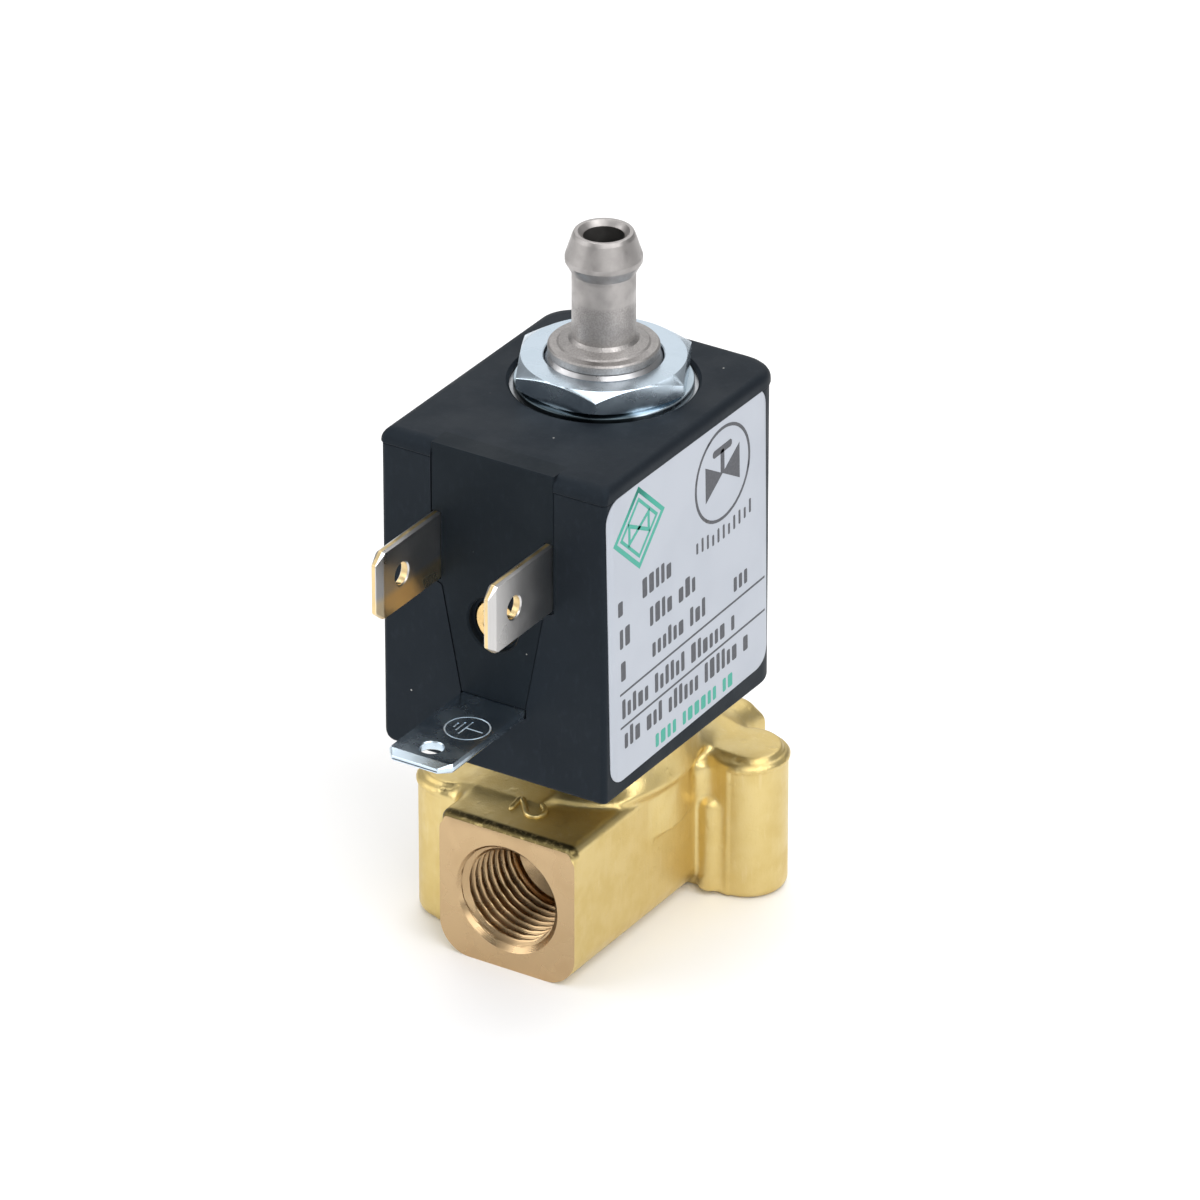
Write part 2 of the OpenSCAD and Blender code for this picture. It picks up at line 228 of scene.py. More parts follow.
def lathe(name, profile, segments=96, axis="Z", centre=(0, 0, 0), sharp=35.0):
    """Turns a closed profile of (radius, height) round an axis."""
    vertices = []
    for i in range(segments):
        angle = 2 * math.pi * i / segments
        c, s = math.cos(angle), math.sin(angle)
        for r, h in profile:
            p = (r * c, r * s, h) if axis == "Z" else (r * c, h, r * s)
            vertices.append(tuple(p[k] + centre[k] for k in range(3)))
    return make_object(name, vertices, quads(segments, len(profile), True), sharp)


def bore(obj, profile, segments, axis="Z", centre=(0, 0, 0)):
    """Takes a turned shape out of obj."""
    combine(obj, lathe("tool", profile, segments, axis, centre))


def drill(obj, radius, low, high, axis="Z", centre=(0, 0, 0), segments=32):
    bore(obj, [(0, low), (radius, low), (radius, high), (0, high)], segments, axis, centre)


def mark(obj, test):
    """Faces that pass a test of their centre in mm and normal take the second material."""
    for face in obj.data.polygons:
        if test([c / MM for c in face.center], face.normal):
            face.material_index = 1


def shade(obj, sharp):
    smooth(obj, sharp)
    weigh_normals(obj)


def finish_piece(obj, body, slot, material, *nodes):
    marks = [face.material_index for face in obj.data.polygons]
    obj.data.materials.clear()
    for m in material if isinstance(material, list) else [material]:
        obj.data.materials.append(m)
    obj.data.polygons.foreach_set("material_index", marks)
    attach(obj, body)
    if nodes:
        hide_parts(*nodes)


# ---------- materials
class Shader:
    """A material made of nodes, in the object's own coordinates."""

    def __init__(self, name, colour, metallic=0.0, roughness=0.5, **sockets):
        self.material = bpy.data.materials.new(name)
        self.material.use_nodes = True
        self.tree = self.material.node_tree
        self.bsdf = self.tree.nodes["Principled BSDF"]
        self.coords = self.new("ShaderNodeTexCoord").outputs["Object"]
        values = {"Base Color": (*colour, 1), "Metallic": metallic, "Roughness": roughness}
        values.update((key.replace("_", " "), value) for key, value in sockets.items())
        for key, value in values.items():
            self.bsdf.inputs[key].default_value = value
        self.colour = None
        self.base = colour
        self.height = None

    def new(self, kind, inputs={}, **values):
        node = self.tree.nodes.new(kind)
        for key, value in values.items():
            setattr(node, key, value)
        for key, value in inputs.items():
            node.inputs[key].default_value = value
        return node

    def link(self, a, b):
        self.tree.links.new(a, b)

    def math(self, operation, a, b=None):
        node = self.new("ShaderNodeMath", operation=operation)
        for value, socket in zip((a, b), node.inputs):
            if isinstance(value, (int, float)):
                socket.default_value = value
            elif value is not None:
                self.link(value, socket)
        return node.outputs[0]

    def stretched(self, scale):
        node = self.new("ShaderNodeMapping", {"Scale": scale})
        self.link(self.coords, node.inputs["Vector"])
        return node.outputs[0]

    def axis(self, name):
        node = self.new("ShaderNodeSeparateXYZ")
        self.link(self.coords, node.inputs[0])
        return node.outputs[name]

    def noise(self, size_mm, detail, stretch=(1, 1, 1)):
        values = {"Scale": 1.0, "Detail": detail, "Roughness": 0.55}
        node = self.new("ShaderNodeTexNoise", values)
        scale = 1.0 / (size_mm * MM)
        self.link(self.stretched([scale * s for s in stretch]), node.inputs["Vector"])
        return node.outputs["Fac"]

    def ramp(self, value, low, high, out_low=0.0, out_high=1.0):
        values = {"From Min": low, "From Max": high, "To Min": out_low, "To Max": out_high}
        node = self.new("ShaderNodeMapRange", values, interpolation_type="SMOOTHSTEP")
        self.link(value, node.inputs["Value"])
        return node.outputs["Result"]

    def tint(self, mask, colour):
        """Mixes a colour over what is there, by a mask."""
        node = self.new("ShaderNodeMix", data_type="RGBA")
        self.link(mask, node.inputs["Factor"])
        under, over = (s for s in node.inputs if s.type == "RGBA")
        over.default_value = (*colour, 1)
        if self.colour is None:
            under.default_value = (*self.base, 1)
        else:
            self.link(self.colour, under)
        self.colour = next(s for s in node.outputs if s.type == "RGBA")
        self.link(self.colour, self.bsdf.inputs["Base Color"])

    def rough(self, value, low, high):
        self.link(self.ramp(value, 0.3, 0.7, low, high), self.bsdf.inputs["Roughness"])

    def vary(self, cloud, rough, mask, colour):
        """A cloud of noise varies the roughness and mixes in a second colour."""
        self.rough(cloud, *rough)
        self.tint(self.ramp(cloud, *mask), colour)

    def bump(self, value, depth_mm, strength=1.0):
        node = self.new("ShaderNodeBump", {"Strength": strength, "Distance": depth_mm * MM})
        self.link(value, node.inputs["Height"])
        if self.height is not None:
            self.link(self.height, node.inputs["Normal"])
        self.height = node.outputs["Normal"]
        self.link(self.height, self.bsdf.inputs["Normal"])

    def rings(self, centre_mm, axis, pitch_mm):
        """Fine turning marks: a wave of the distance from an axis."""
        flat = [0.0 if k == axis else 1.0 for k in "XYZ"]
        away = [-c * MM for c in centre_mm]
        node = self.new("ShaderNodeMapping", {"Location": away, "Scale": flat})
        self.link(self.coords, node.inputs["Vector"])
        length = self.new("ShaderNodeVectorMath", operation="LENGTH")
        self.link(node.outputs[0], length.inputs[0])
        wave = self.math("MULTIPLY", length.outputs["Value"], 2 * math.pi / (pitch_mm * MM))
        return self.math("SINE", wave)


def metal(name, colour, roughness, grain_mm, depth_mm, tint=None, stretch=(1, 1, 1)):
    s = Shader(name, colour, 1.0, roughness)
    rough = (roughness * 0.75, roughness * 1.3)
    tint = tint or [c * 0.86 for c in colour]
    s.vary(s.noise(grain_mm * 14, 3.0), rough, (0.35, 0.75, 0, 0.6), tint)
    s.bump(s.noise(grain_mm, 4.0, stretch), depth_mm)
    return s


def brass_forged():
    """Cast-looking brass, with a painted dark reflection along the block's front top edge."""
    s = Shader("brass_forged", (0.70, 0.555, 0.25), 1.0, 0.4)
    streak = s.noise(0.45, 3.0, (1, 1, 0.12))
    s.vary(s.noise(2.6, 3.0), (0.34, 0.5), (0.3, 0.75, 0, 0.55), (0.65, 0.49, 0.18))
    s.tint(s.ramp(streak, 0.55, 0.8, 0, 0.35), (0.76, 0.64, 0.38))
    # painted dark reflection: the rounded edge where the block's top meets its front face is
    # coloured dark, mottled by noise patches
    edge = s.ramp(s.axis("Y"), -(FACE_Y - 0.95) * MM, -(FACE_Y - 0.6) * MM)
    high = s.ramp(s.axis("Z"), (BLOCK_TOP - 1.1) * MM, (BLOCK_TOP - 0.6) * MM)
    patches = s.ramp(s.noise(0.5, 4.0), 0.3, 0.5, 0.45, 0.95)
    edge_dark_reflection = s.math("MULTIPLY", s.math("MULTIPLY", edge, high), patches)
    s.tint(edge_dark_reflection, (0.13, 0.10, 0.04))
    s.bump(s.noise(0.16, 3.0), 0.014)
    s.bump(streak, 0.016)
    s.bump(s.ramp(s.noise(1.1, 1.0), 0.62, 0.8), 0.025)
    return s.material


def brass_machined():
    s = Shader("brass_machined", (0.53, 0.375, 0.21), 1.0, 0.26)
    s.vary(s.noise(3.0, 2.0), (0.19, 0.33), (0.4, 0.8, 0, 0.5), (0.49, 0.335, 0.18))
    s.bump(s.rings((0, 0, PORT_Z), "Y", 0.11), 0.0016)
    s.bump(s.noise(0.3, 3.0), 0.004)
    return s.material


def casing_plastic(name, colour):
    """Moulded plastic, rubbed lighter in places and specked with dust."""
    gloss = {"Specular_IOR_Level": 0.13, "Specular_Tint": (0.6, 0.82, 1.0, 1)}
    s = Shader(name, colour, 0.0, 0.5, **gloss)
    cloud = s.noise(5.0, 3.0)
    rub = s.noise(0.5, 4.0, (1, 1, 0.5))
    cells = s.new("ShaderNodeTexVoronoi", {"Scale": 1.0}, feature="F1")
    s.link(s.stretched([1 / (1.7 * MM)] * 3), cells.inputs["Vector"])
    speck = s.ramp(cells.outputs["Distance"], 0.035, 0.06, 1.0, 0.0)
    pick = s.ramp(s.noise(2.4, 1.0), 0.56, 0.6)
    dust = s.math("MULTIPLY", speck, pick)
    s.rough(cloud, 0.44, 0.58)
    s.tint(s.ramp(rub, 0.5, 0.85, 0, 0.5), [c * 1.7 for c in colour])
    s.tint(s.math("MULTIPLY", dust, 0.7), (0.5, 0.5, 0.48))
    s.bump(s.noise(0.12, 3.0), 0.008)
    s.bump(cloud, 0.05, 0.5)
    return s.material


def turned(name, colour, roughness, pitch):
    """Bar stock turned on a lathe: fine marks that run round it."""
    s = Shader(name, colour, 1.0, roughness)
    rough = (roughness * 0.75, roughness * 1.35)
    s.vary(s.noise(1.6, 4.0), rough, (0.35, 0.75, 0, 0.5), [c * 0.8 for c in colour])
    s.bump(s.noise(pitch, 2.0, (0.02, 0.02, 1)), 0.006)
    s.bump(s.noise(0.12, 2.0), 0.003)
    return s


def barb_steel():
    """Stainless bar: bright above, and etched dull on the lower neck."""
    s = turned("stainless_turned", (0.42, 0.40, 0.39), 0.42, 0.14)
    low = s.ramp(s.axis("Z"), 57.4 * MM, 57.0 * MM)
    pits = s.math("MULTIPLY", s.ramp(s.noise(0.14, 2.0), 0.35, 0.65), low)
    s.tint(s.math("MULTIPLY", pits, 0.5), (0.24, 0.23, 0.225))
    s.bump(pits, 0.008)
    return s.material


def paper_label():
    s = Shader("label_film", (0.435, 0.465, 0.52), 0.0, 0.42, Specular_IOR_Level=0.4)
    s.vary(s.noise(6.0, 2.0), (0.36, 0.5), (0.4, 0.7, 0, 0.4), (0.41, 0.44, 0.495))
    s.bump(s.noise(0.25, 2.0), 0.002)
    return s.material


def ink(name, colour):
    s = Shader(name, colour, 0.0, 0.5)
    patch = s.noise(0.2, 3.0)
    s.vary(patch, (0.42, 0.6), (0.55, 0.8, 0, 0.35), [c * 1.6 + 0.02 for c in colour])
    s.bump(patch, 0.001)
    return s.material


def tinned(name):
    """Tin plate over brass, thin towards the low end of the left blade."""
    s = Shader(name, (0.58, 0.57, 0.56), 1.0, 0.3)
    streak = s.noise(0.16, 2.0, (1, 1, 0.08))
    s.rough(s.noise(5.0, 2.0), 0.27, 0.34)
    s.tint(s.ramp(streak, 0.45, 0.75, 0, 0.25), (0.5, 0.49, 0.475))
    worn = s.ramp(s.noise(6.0, 1.0), 0.30, 0.55)
    low = s.ramp(s.axis("Z"), (TAB_LOW[2] + 2.6) * MM, (TAB_LOW[2] + 1.6) * MM)
    tip = s.ramp(s.axis("X"), 1.0 * MM, -1.0 * MM)
    patch = s.math("MULTIPLY", s.math("MULTIPLY", worn, low), tip)
    s.tint(s.math("MULTIPLY", patch, 0.8), (0.88, 0.70, 0.42))
    s.bump(streak, 0.0003)
    return s.material


def copper_wire():
    s = Shader("copper_wire", (0.72, 0.33, 0.16), 1.0, 0.3, Coat_Weight=0.4)
    turns = s.math("MULTIPLY", s.axis("Z"), 2 * math.pi / (0.22 * MM))
    s.vary(s.noise(1.0, 2.0), (0.24, 0.4), (0.35, 0.7, 0, 0.6), (0.55, 0.22, 0.10))
    s.bump(s.math("SINE", turns), 0.03)
    return s.material


def rubber():
    s = Shader("seal_rubber", (0.018, 0.018, 0.02), 0.0, 0.6)
    s.vary(s.noise(0.6, 3.0), (0.5, 0.72), (0.4, 0.7, 0, 0.5), (0.035, 0.035, 0.037))
    s.bump(s.noise(0.08, 2.0), 0.004)
    return s.material


BRASS = brass_forged()
BRASS_CUT = brass_machined()
CASING = casing_plastic("casing_plastic", (0.011, 0.0138, 0.018))
PANEL = casing_plastic("panel_plastic", (0.0078, 0.0102, 0.0132))
BOBBIN = casing_plastic("bobbin_plastic", (0.03, 0.03, 0.03))
STAINLESS = barb_steel()
CORE_STEEL = turned("core_steel", (0.42, 0.42, 0.43), 0.32, 0.2).material
TUBE_STEEL = turned("tube_steel", (0.55, 0.54, 0.53), 0.28, 0.1).material
SPRING = metal("spring_wire", (0.55, 0.56, 0.58), 0.28, 0.15, 0.004).material
ZINC = metal("zinc_plate", (0.60, 0.70, 0.79), 0.25, 0.22, 0.002, (0.52, 0.62, 0.70)).material
# the washer's front is painted darker: a painted dark reflection on its zinc
washer_zinc = metal("zinc_washer", (0.50, 0.60, 0.67), 0.3, 0.22, 0.002)
washer_dark_reflection = washer_zinc.ramp(washer_zinc.axis("Y"), -3.9 * MM, -5.0 * MM, 0, 0.95)
washer_zinc.tint(washer_dark_reflection, (0.035, 0.05, 0.058))
ZINC_PAINTED_REFLECTION = washer_zinc.material
SCORED = metal("scored_zinc", (0.80, 0.86, 0.90), 0.6, 0.1, 0.004).material
# painted shade: a dark steel colour that stands in for the shade down inside the barb's bore
BORE_PAINTED_SHADE = metal("bore_painted_shade", (0.16, 0.155, 0.15), 0.45, 0.2, 0.004).material
YOKE = metal("yoke_plate", (0.52, 0.54, 0.56), 0.36, 0.3, 0.012).material
COPPER = metal("copper_ring", (0.76, 0.38, 0.2), 0.3, 0.2, 0.005).material
WINDING = copper_wire()
TIN = tinned("tinned_brass")
TIN_EDGE = metal("sheared_edge", (0.80, 0.62, 0.33), 0.34, 0.2, 0.01, None, (4, 1, 1)).material
INSERT = turned("insert_brass", (0.80, 0.56, 0.25), 0.28, 0.15).material
LABEL = paper_label()
INK_DARK = ink("ink_dark", (0.06, 0.063, 0.075))
INK_GREEN = ink("ink_green", (0.045, 0.34, 0.26))
SEAL = rubber()


# ---------- brass forging
def smooth_min(a, b, k):
    h = np.clip(0.5 + 0.5 * (b - a) / k, 0, 1)
    return b + (a - b) * h - k * h * (1 - h)


def smooth_max(a, b, k):
    return -smooth_min(-a, -b, k)


def rounded_box(qx, qz, r):
    """Distance to a rectangle's rounded corner, from the distances beyond its two sides."""
    qx, qz = qx + r, qz + r
    beyond = np.hypot(np.maximum(qx, 0), np.maximum(qz, 0))
    return np.minimum(np.maximum(qx, qz), 0) + beyond - r


def post(x, y, z, centre, r, low, high, round_low, round_high):
    """Distance to an upright cylinder, with its own rounding at each end."""
    middle = (low + high) / 2
    radial = np.hypot(x - centre[0], y - centre[1]) - r
    ease = np.where(z < middle, round_low, round_high)
    return rounded_box(radial, np.abs(z - middle) - (high - low) / 2, ease)


def step(value, low, high):
    t = np.clip((value - low) / (high - low), 0, 1)
    return t * t * (3 - 2 * t)


# how far the forging runs past the faces that are machined back
SPARE = 0.45
# radii of a mounting lug's post, of the band round its top, and of the rib beside it
LUG_R, BAND_R, RIB_R = 3.46, 3.62, 1.12


def forging(x, y, z):
    """Distance to the forging's skin. Both mounting lugs share one description."""
    corner = np.where(z < PORT_Z, 3.0, 0.8 + 1.4 * step(y, -4, 4))
    block = rounded_box(np.abs(x) - BLOCK_HALF, np.abs(z - PORT_Z) - PORT_Z, corner)
    block = smooth_max(block, np.abs(y) - FACE_Y - 0.16, 0.02 + 1.1 * step(z, 11.6, 12.8))
    boss = post(x, y, z, (0, 0), BOSS_R, 8.75, BOSS_TOP + SPARE, 0.3, 0.1)
    body = smooth_min(block, boss, 0.35 + 4.2 * step(z, 12.6, 14.2))
    side = np.where(y < 0, -1.0, 1.0)
    u, v = x * side, y * side
    lug = post(u, v, z, (LUG_X, LUG_Y), LUG_R, 0, 12.9, 0.8, 0.2)
    band = post(u, v, z, (LUG_X, LUG_Y), BAND_R, 12.38, 13.1, 0.12, 0.62)
    above = z - BLOCK_TOP
    pad = (np.hypot(u - LUG_X, v - LUG_Y) - 2.85 + above * 0.6) / 1.15
    pad = smooth_max(pad, (LUG_Y - 2.3 - v + above * 0.9) / 1.35, 0.4)
    pad = smooth_max(np.maximum(pad, 12.7 - z), above, 0.16)
    lug = smooth_min(lug, band, 0.1)
    across = np.abs(v - LUG_Y)
    web = rounded_box(across - 3.45, -z, 0.8)
    web = np.maximum(web, np.maximum(u - LUG_X, -u))
    web = smooth_max(web, above, 0.15)
    web = smooth_max(web, (across - 2.3 + above * 0.9) / 1.35, 0.16)
    rib = post(u, v, z, (7.62, 5.05), RIB_R, 0.4, 9.4, 0.5, 0.9)
    lug = smooth_min(smooth_min(lug, web, 0.5), pad, 0.06)
    body = smooth_min(body, lug, 0.5 + 1.3 * step(z, 0.5, 3.0))
    return np.maximum(smooth_min(body, rib, 0.45), -z)


def gradient(f, p, h=0.01):
    moves = np.eye(3) * h
    return np.stack([f(*(p + m).T) - f(*(p - m).T) for m in moves], 1) / (2 * h)


def skin(name, f, low, high, cell, sharp):
    """Quads on the zero level of f, one vertex for each grid cell that the level crosses."""
    low = np.array(low, float)
    ticks = [np.arange(a, b + cell, cell) for a, b in zip(low, high)]
    value = f(*np.meshgrid(*ticks, indexing="ij"))
    inside = value < 0
    shape = np.array(value.shape) - 1
    corners = list(np.ndindex(2, 2, 2))
    part = lambda array, c: array[tuple(slice(c[n], c[n] + shape[n]) for n in range(3))]
    hits = sum(part(inside, c).astype(np.int8) for c in corners)
    active = (hits > 0) & (hits < 8)
    index = np.full(shape, -1)
    index[active] = np.arange(active.sum())
    cells = np.argwhere(active)
    corner_value = {c: part(value, c)[active] for c in corners}
    total = np.zeros((len(cells), 3))
    crossings = np.zeros(len(cells))
    for a in corners:
        for axis in range(3):
            if a[axis]:
                continue
            b = tuple(1 if n == axis else a[n] for n in range(3))
            va, vb = corner_value[a], corner_value[b]
            cut = (va < 0) != (vb < 0)
            t = np.where(cut, va / np.where(cut, va - vb, 1), 0)
            point = np.tile(np.array(a, float), (len(cells), 1))
            point[:, axis] += t
            total += point * cut[:, None]
            crossings += cut
    points = low + (cells + total / crossings[:, None]) * cell
    for _ in range(4):
        g = gradient(f, points)
        d = f(*points.T)
        move = d[:, None] * g / np.maximum((g * g).sum(1)[:, None], 0.05)
        points -= np.clip(move, -cell * 0.5, cell * 0.5)
    faces = []
    for axis in range(3):
        b, c = (axis + 1) % 3, (axis + 2) % 3
        s0, s1 = np.delete(inside, -1, axis), np.delete(inside, 0, axis)
        where = np.argwhere(s0 != s1)
        where = where[(where[:, b] > 0) & (where[:, c] > 0)]
        where = where[(where[:, b] < shape[b]) & (where[:, c] < shape[c])]
        quad = []
        for db, dc in ((-1, -1), (0, -1), (0, 0), (-1, 0)):
            w = where.copy()
            w[:, b] += db
            w[:, c] += dc
            quad.append(index[tuple(w.T)])
        quad = np.stack(quad, 1)
        flip = ~s0[tuple(where.T)]
        quad[flip] = quad[flip][:, ::-1]
        faces.append(quad[(quad >= 0).all(1)])
    faces = np.concatenate(faces)
    return make_object(name, points, faces.tolist(), sharp)


THREAD_PITCH = 0.907
THREAD_MINOR, THREAD_MAJOR = 4.283, 4.864
PORT_DEPTH = 8.5
PORT_MOUTH = 5.05
DRILL_R = 1.5


def port_cutter(side):
    """The hole of one threaded port, as a solid: mouth chamfer, helical thread, drilled end."""
    segments = 96
    per_turn = 18
    threaded = int(PORT_DEPTH / THREAD_PITCH * per_turn)
    depths = [-1.0, 0.0] + [i * THREAD_PITCH / per_turn for i in range(1, threaded)]
    depths += [PORT_DEPTH, PORT_DEPTH + 1.6]
    loops = []
    for depth in depths:
        loop = []
        for i in range(segments):
            angle = 2 * math.pi * i / segments
            turn = depth / THREAD_PITCH - angle / (2 * math.pi)
            tooth = abs(2 * (turn - math.floor(turn)) - 1)
            tooth = min(max((tooth - 0.14) / 0.72, 0), 1)
            tooth = tooth * 0.55 + 0.45 * tooth * tooth * (3 - 2 * tooth)
            fade = min(max((PORT_DEPTH - 0.3 - depth) / 1.0, 0), 1)
            r = THREAD_MINOR + (THREAD_MAJOR - THREAD_MINOR) * tooth * fade
            r = max(r, PORT_MOUTH - max(depth, 0) * 0.95)
            if depth > PORT_DEPTH:
                r = DRILL_R
            y = side * (FACE_Y - depth)
            loop.append((r * math.cos(angle), y, PORT_Z + r * math.sin(angle)))
        loops.append(loop)
    return loft("tool", loops)


def build_body():
    reach_x = LUG_X + 3.72 + 0.4
    low = (-reach_x, -FACE_Y - 2 * SPARE, -0.43)
    high = (reach_x, FACE_Y + 2 * SPARE, BOSS_TOP + 2 * SPARE)
    body = skin("valve_body", forging, low, high, 0.19, 32)
    far = 30
    for side in (-1, 1):
        cut = sorted((side * FACE_Y, side * far))
        combine(body, brick((-far, cut[0], -far), (far, cut[1], far)))
    combine(body, brick((-far, -far, BOSS_TOP), (far, far, far)))
    lug_hole = [(0, -1), (2.3, -1), (2.3, 0), (1.62, 0.7), (1.62, 8), (0, 9)]
    for side in (-1, 1):
        combine(body, port_cutter(side))
        bore(body, lug_hole, 48, centre=(side * LUG_X, side * LUG_Y, 0))
    axis = (0, 0, PORT_Z)
    drill(body, DRILL_R, -0.6, FACE_Y - PORT_DEPTH, "Y", axis, 40)
    drill(body, DRILL_R, -9, PORT_DEPTH - FACE_Y + 3, "Y", axis, 40)
    drill(body, 0.9, PORT_Z, 12, centre=(0, -3.85, 0))
    # the valve chamber, round a raised seat
    top = BOSS_TOP
    chamber = [(1.5, 10), (4.9, 10), (4.9, 11.6), (6, 11.6), (6, top - 0.4), (6.4, top)]
    chamber += [(6.4, top + 1), (0, top + 1), (0, 11.58), (1.15, 11.58)]
    bore(body, chamber, 72)
    drill(body, 0.6, PORT_Z, 13)
    smooth(body, 32)
    mark(body, is_machined)
    finish_piece(body, "valve", "brass", [BRASS, BRASS_CUT], "valve_body")


def is_machined(centre, normal):
    """Whether a tool has cut this face of the forging."""
    x, y, z = centre
    from_port = math.hypot(x, z - PORT_Z)
    port = from_port < PORT_MOUTH + 0.02 and abs(y) > 1.0 and z < 12
    port_face = abs(y) > FACE_Y - 0.02 and abs(normal.y) > 0.9
    chamber = math.hypot(x, y) < 6.5 and z > 9.5
    in_lug = math.hypot(abs(x) - LUG_X, abs(y) - LUG_Y) < 2.32 and 0.01 < z < 9.2 and x * y > 0
    return port or port_face or chamber or z > BOSS_TOP - 0.02 or in_lug


def surface_height(x, y):
    """Height of the forging's top at x, y."""
    low, high = 8.0, 16.0
    for _ in range(30):
        middle = (low + high) / 2
        inside = forging(np.array(x), np.array(y), np.array(middle)) < 0
        low, high = (middle, high) if inside else (low, middle)
    return low


def ridge(name, path, width, height, samples=40):
    """A low rounded bead along a curve that lies on the forging's top."""
    pts = np.array(path, float)
    t = np.linspace(0, len(pts) - 1, samples)
    line = []
    for value in t:
        i = min(int(value), len(pts) - 2)
        f = value - i
        p0, p1 = pts[max(i - 1, 0)], pts[i]
        p2, p3 = pts[i + 1], pts[min(i + 2, len(pts) - 1)]
        square, cube = 2 * p0 - 5 * p1 + 4 * p2 - p3, 3 * p1 - p0 - 3 * p2 + p3
        line.append(0.5 * (2 * p1 + (p2 - p0) * f + square * f * f + cube * f**3))
    line = np.array(line)
    loops = []
    for i, p in enumerate(line):
        d = line[min(i + 1, len(line) - 1)] - line[max(i - 1, 0)]
        d /= np.linalg.norm(d)
        side = np.array([-d[1], d[0]])
        end = min(i, len(line) - 1 - i) / 3.0
        swell = math.sin(min(end, 1) * math.pi / 2) * 0.92 + 0.08
        z = surface_height(p[0], p[1])
        loop = []
        for k in range(10):
            a = 2 * math.pi * k / 10
            q = p + side * math.cos(a) * width / 2 * swell
            loop.append((q[0], q[1], z + math.sin(a) * height * swell))
        loops.append(loop)
    return loft(name, loops, 60)


def build_port_digits():
    # up is +X and right is -Y for the front digit, and the rear one is turned half round
    x0, y0, size = -0.2, -11.5, 0.8
    hook = [(0.85, -0.95), (1.45, -0.8), (1.75, 0.0), (1.45, 0.8), (0.75, 1.0), (0.1, 0.7)]
    hook += [(-0.8, -0.3), (-1.6, -1.02)]
    foot = [(-1.6, -1.02), (-1.72, -0.4), (-1.78, 0.3), (-1.8, 1.1)]
    digit = ridge("port_digit_2", [(x0 + u * size, y0 - v * size) for u, v in hook], 0.56, 0.3)
    base = ridge("base", [(x0 + u * size, y0 - v * size) for u, v in foot], 0.56, 0.3, 14)
    combine(digit, base, "UNION")
    smooth(digit, 60)
    finish_piece(digit, "valve", "brass", BRASS)
    stroke = [(-1.0, 10.8), (-1.7, 11.45), (0.0, 11.45), (1.8, 11.45)]
    one = ridge("port_digit_1", stroke, 0.46, 0.22, 24)
    finish_piece(one, "valve", "brass", BRASS)


# ---------- coil casing
# radii of the upright corners, from the left front one round to the left back one
CASING_CORNERS = [0.55, 0.5, 3.0, 3.0]


def ease_in(distance, radius):
    """How far a rounded edge has drawn in, at a distance from the face that ends it."""
    if distance >= radius:
        return 0.0
    return radius - math.sqrt(max(radius**2 - (radius - distance) ** 2, 0))


def casing_loops(levels, swell, ends):
    """Outlines up the casing. ends has the rounding at the low and the high face, by side."""
    loops = []
    for z in levels:
        left, right, front, back = (
            ease_in(z - levels[0], low) + ease_in(levels[-1] - z, high) for low, high in ends
        )
        x0, x1 = -COIL_X - swell + left, COIL_X + swell - right
        y0, y1 = COIL_FRONT - swell + front, COIL_BACK + swell - back
        outline = rounded([(x0, y0), (x1, y0), (x1, y1), (x0, y1)], CASING_CORNERS, 10)
        loops.append(place(outline, "XY", z))
    return loops


def level_steps(low, high, round_low, round_high, steps=6):
    """Heights for a lofted wall: close together where the ends are rounded."""
    turns = [math.pi / 2 * i / steps for i in range(steps + 1)]
    out = [low + round_low * (1 - math.cos(a)) for a in turns[:-1]]
    out += [low + round_low, high - round_high]
    return out + [high - round_high * (1 - math.sin(a)) for a in turns[1:]]


PANEL_HALF_TOP, PANEL_HALF_LOW, PANEL_HALF_BASE = 6.0, 5.0, 3.15
PANEL_SHOULDER = TAB_LOW[2] - 0.1
EARTH_TOP = EARTH_HIGH[2]
SEAM_GAP = 0.055
PANEL_BACK = -9.6
LID_PANEL_BACK = COIL_FRONT + 2.2
INSERT_MID = (INSERT_LOW[2] + INSERT_HIGH[2]) / 2


def panel_outline(top):
    """The socket panel's outline in the casing's front, up to a height."""
    right = [(PANEL_HALF_BASE, EARTH_TOP), (PANEL_HALF_LOW, PANEL_SHOULDER - 0.35)]
    right += [(PANEL_HALF_TOP, PANEL_SHOULDER), (PANEL_HALF_TOP, top)]
    left = [(-u, v) for u, v in reversed(right)]
    return rounded(left + right, [0, 0.3, 0.3, 0.1, 0.1, 0.3, 0.3, 0], 3)


def build_housing():
    levels = level_steps(COIL_BASE, SEAM_Z, 0.45, 0.12)
    ends = [(0.45, 0.12), (0.3, 0.12), (0.35, 0.12), (0.45, 0.12)]
    housing = loft("coil_housing", casing_loops(levels, 0, ends), 30)
    combine(housing, corner_cutter(1.6))
    opening = offset(panel_outline(COIL_TOP + 2), SEAM_GAP)
    combine(housing, slab(opening, COIL_FRONT - 2, PANEL_BACK - 0.02))
    combine(housing, brick((-9.5, PANEL_BACK, COIL_BASE + 1.5), (9.5, 9.4, SEAM_Z + 2)))
    combine(housing, brick((-8, -9, COIL_BASE - 1), (8, YOKE_BACK, COIL_BASE + 3)))
    slot = rounded([(-3.25, 26.0), (3.25, 26.0), (3.25, 26.9), (-3.25, 26.9)], 0.1, 3)
    combine(housing, slab(slot, COIL_FRONT - 1, PANEL_BACK + 1))
    shade(housing, 30)
    finish_piece(housing, "coil", "casing_plastic", CASING, "coil_housing")


def corner_cutter(radius):
    """Rounds the front face's lower left corner more than the other three."""
    x, z = -COIL_X, COIL_BASE
    out = [(x - 1, z - 1), (x + radius, z - 1), (x + radius, z)]
    for i in range(1, 9):
        a = math.pi / 2 * i / 8
        out.append((x + radius * (1 - math.sin(a)), z + radius * (1 - math.cos(a))))
    out.append((x - 1, z + radius))
    return slab(out, COIL_FRONT - 1, COIL_BACK + 1)


